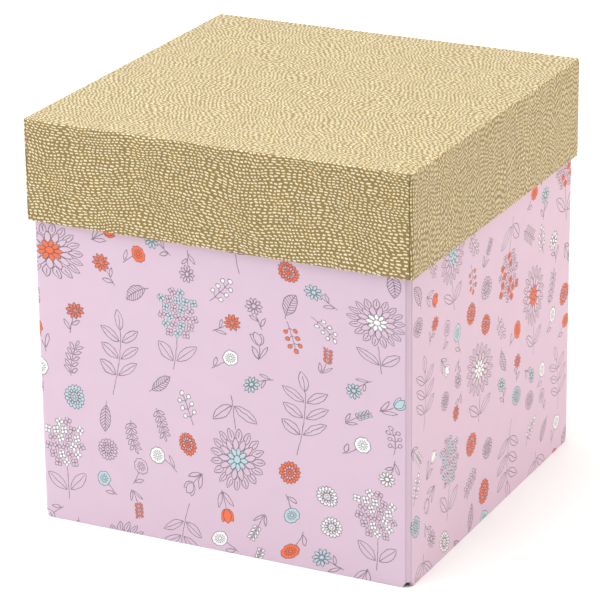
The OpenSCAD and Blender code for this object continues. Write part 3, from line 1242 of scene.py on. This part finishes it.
lidPaper = lidPaperMaterial()
bareLidPaper = bareEdgeMaterial("bareLidPaper", (0.3, 0.2, 0.09, 1), (0.22, 0.14, 0.06, 1))
lidMesh = flatSheet("flatLid", lidColumns(), lidRows(), lidDrawnAt,
                    lambda first, second, below, above: True, closed=True)
lidPiece = foldedPaper("lid_wrap_paper", lidMesh, lidPaper, bareLidPaper, {
    "Foot level": lidFoot * mm,
    "Rim level": lidTop * mm,
    "Arch radius": 0.0,
    "Arch reach": 1.0,
    "Rim dip": 0.0,
    "Dip width": 1.0,
    "Lap lift": lidSheet["paper"] * mm,
}, lidSheet["paper"] * mm)
lidBake = {
    "half": 252.0,  # from the middle of the unfolded cross to past its ends
    "bareSide": 86.0,
    "bareGap": 3.0,
    "fill": 0.498,
}


def lidBakePlace(at, bare):
    # the unfolded cross fills the image, and the bare side lies in its four empty corners
    s = lidBake
    spot = list(at)
    if bare:
        start = s["half"] - s["bareGap"] - s["bareSide"]
        spot = [math.copysign(start + s["bareSide"] * abs(v) / s["half"], v) for v in spot]
    return [0.5 + v / s["half"] * s["fill"] for v in spot]


addBakeMap(lidPiece.data, lidBakePlace)
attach(lidPiece, "lid")
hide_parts("lid_wrap")
print("lid paper folded:", len(lidPiece.data.polygons), "faces")


# the finishes of the boards, linings and tapes, in the solids' own coordinates
finishLooks = {
    "greyboardFinish": {
        "light": (0.36, 0.34, 0.31, 1),
        "dark": (0.26, 0.245, 0.22, 1),
        "fleck": (0.12, 0.11, 0.1, 1),
        "roughness": 0.8,
        "relief": 0.08,
    },
    "liningFinish": {
        "light": (0.86, 0.85, 0.82, 1),
        "dark": (0.78, 0.77, 0.73, 1),
        "fleck": (0.7, 0.67, 0.6, 1),
        "roughness": 0.62,
        "relief": 0.03,
    },
    "kraftTapeFinish": {
        "light": (0.57, 0.40, 0.22, 1),
        "dark": (0.45, 0.30, 0.155, 1),
        "fleck": (0.3, 0.19, 0.09, 1),
        "roughness": 0.6,
        "relief": 0.04,
    },
}
# painted shade: the near-black colour and the place of the unlit hollow at each corner's foot
shadeInHollowFoot = {
    "colour": (0.02, 0.018, 0.018, 1),
    "outFrom": 138.0,
    "outTo": 141.0,
    "topFrom": 8.0,
    "topTo": 5.0,
    "footFrom": 0.3,
    "footTo": 0.6,
}


def objectPlace(material):
    return Wire(material.node_tree).make("ShaderNodeTexCoord", None, None, "Object")


def fibrousMaterial(name, look):
    # pressed paper pulp: clouds, crossing fibres and a few flecks
    material = newMaterial(name)
    p = scaled(objectPlace(material), 1 / mm)
    cloud = noise(p, 0.06, 3.0)
    grain = noise(p, 2.4, 4.0)
    long = noise(p.make("ShaderNodeMapping", None, {"Vector": p, "Scale": (0.35, 2.2, 1.3)}), 1.0, 3.0)
    cross = noise(p.make("ShaderNodeMapping", None, {"Vector": p, "Scale": (2.0, 0.4, 0.5)}), 1.1, 3.0)
    tone = cloud * 0.35 + grain * 0.25 + long * 0.2 + cross * 0.2
    colour = blendColour(ease(tone, 0.3, 0.7), look["dark"], look["light"])
    spots = p.make("ShaderNodeTexVoronoi", None, {"Vector": p, "Scale": 0.33}, "Distance")
    colour = blendColour(ease(spots + grain * 0.4, 0.4, 0.24) * 0.6, colour, look["fleck"])

    # painted shade: at the hollow foot of each upright corner, behind its arch, the colour goes near black
    # as if no light reached it
    s = shadeInHollowFoot
    x, y, z = partsOf(p)
    outer = ease(least(abs(x), abs(y)), s["outFrom"], s["outTo"])
    shadeInHollow = outer * ease(z, s["topFrom"], s["topTo"]) * ease(z, s["footFrom"], s["footTo"])
    feed(material, {
        "Base Color": blendColour(shadeInHollow, colour, s["colour"]),
        "Roughness": look["roughness"] + grain * 0.12,
        "Normal": bumpOf(grain * 0.4 + long * 0.3 + cross * 0.3, look["relief"] * mm, 0.7),
    })
    return material


def finishOf(name):
    if "board" in name:
        return "greyboardFinish"
    return "kraftTapeFinish" if "stay" in name else "liningFinish"


finishes = {name: fibrousMaterial(name, look) for name, look in finishLooks.items()}
for name, node in solids.items():
    node.data.materials.clear()
    node.data.materials.append(finishes[finishOf(name)])
print("solids finished")

# floor, sky and lamps, in metres and watts
studio = {
    "floorHalf": 12.0,
    "floor": (0.74, 0.74, 0.74, 1),
    "floorSeen": (1.0, 1.0, 1.0, 1),
    "whiteFrom": 0.8,
    "whiteTo": 1.8,
    "sky": 0.62,
}
lamps = {
    "topSoftbox": {
        "place": (-0.32, -0.38, 2.4),
        "aim": (0, 0, 0.2),
        "size": 2.4,
        "power": 53.5,
        "tint": (0.985, 1.035, 0.975),
        "glint": True,
    },
    "leftSoftbox": {
        "place": (-1.15, -1.05, 0.45),
        "aim": (-0.1, -0.1, 0.2),
        "size": 0.8,
        "power": 5.0,
        "tint": (1.0, 1.0, 1.0),
        "glint": False,
    },
    "rightSoftbox": {
        "place": (1.5, 1.0, 0.55),
        "aim": (0.1, 0.1, 0.2),
        "size": 0.9,
        "power": 11.0,
        "tint": (1.0, 0.865, 0.69),
        "glint": False,
    },
}
# the camera, in degrees and millimetres
productView = {
    "azimuth": 26.48,
    "elevation": 20.615,
    "roll": -0.64,
    "away": 2394.06,
    "across": -7.949,
    "above": -10.17,
    "aimHeight": 152.5,
    "lens": 195.1,
    "sensor": 36,
}


def addFloor():
    half = studio["floorHalf"]
    mesh = bpy.data.meshes.new("studioFloor")
    corners = [(-half, -half, 0), (half, -half, 0), (half, half, 0), (-half, half, 0)]
    mesh.from_pydata(corners, [], [(0, 1, 2, 3)])
    floor = addObject("studioFloor", mesh)
    material = newMaterial("floorFinish")
    looking = Wire(material.node_tree).make("ShaderNodeLightPath", None, None, "Is Camera Ray")
    # far from the lamps the floor keeps its white by itself
    x, y, _ = partsOf(objectPlace(material))
    far = ease(reach(x, y), studio["whiteFrom"], studio["whiteTo"]) * looking
    feed(material, {
        "Base Color": blendColour(looking, studio["floor"], studio["floorSeen"]),
        "Emission Color": blendColour(far, (0, 0, 0, 1), (1, 1, 1, 1)),
        "Emission Strength": 1.0,
        "Roughness": 0.9,
        "Specular IOR Level": 0.0,
    })
    mesh.materials.append(material)


def addSky():
    world = bpy.data.worlds.new("studioSky")
    world.use_nodes = True
    bpy.context.scene.world = world
    tree = world.node_tree
    back = tree.nodes["Background"]
    rays = Wire(tree).make("ShaderNodeLightPath").socket.node
    toCamera, glossy, through = [Wire(tree, rays.outputs[name]) for name in
                                 ("Is Camera Ray", "Is Glossy Ray", "Is Transmission Ray")]
    shown = least(toCamera + glossy + through, 1.0)
    strength = shown + (1 - shown) * studio["sky"]
    back.inputs["Color"].default_value = (1, 1, 1, 1)
    tree.links.new(strength.socket, back.inputs["Strength"])


def addSoftbox(name, s):
    data = bpy.data.lights.new(name, "AREA")
    data.shape = "SQUARE"
    data.size = s["size"]
    data.energy = s["power"]
    data.color = s["tint"]
    lamp = addObject(name, data)
    lamp.location = s["place"]
    lamp.rotation_mode = "QUATERNION"
    lamp.rotation_quaternion = (Vector(s["aim"]) - Vector(s["place"])).to_track_quat("-Z", "Y")
    lamp.visible_camera = False
    lamp.visible_glossy = s["glint"]


def addCamera():
    # long lens, a little above the box, with its front corner towards the view
    s = productView
    azimuth, elevation, roll = (math.radians(s[key]) for key in ("azimuth", "elevation", "roll"))
    back = Vector((math.sin(azimuth) * math.cos(elevation), -math.cos(azimuth) * math.cos(elevation),
                   math.sin(elevation)))
    right = Vector((math.cos(azimuth), math.sin(azimuth), 0))
    up = back.cross(right)
    across = math.cos(roll) * right + math.sin(roll) * up
    above = math.cos(roll) * up - math.sin(roll) * right
    aim = Vector((0, 0, s["aimHeight"]))
    place = (back * s["away"] + across * s["across"] + above * s["above"] + aim) * mm
    data = bpy.data.cameras.new("productCamera")
    data.lens = s["lens"]
    data.sensor_width = s["sensor"]
    data.clip_start = 0.05
    data.clip_end = 100
    camera = addObject("productCamera", data)
    camera.matrix_world = Matrix.Translation(place) @ Matrix((across, above, back)).transposed().to_4x4()
    bpy.context.scene.camera = camera


addFloor()
addSky()
for name, lamp in lamps.items():
    addSoftbox(name, lamp)
addCamera()
bpy.context.scene.view_settings.view_transform = "Standard"
print("studio set")
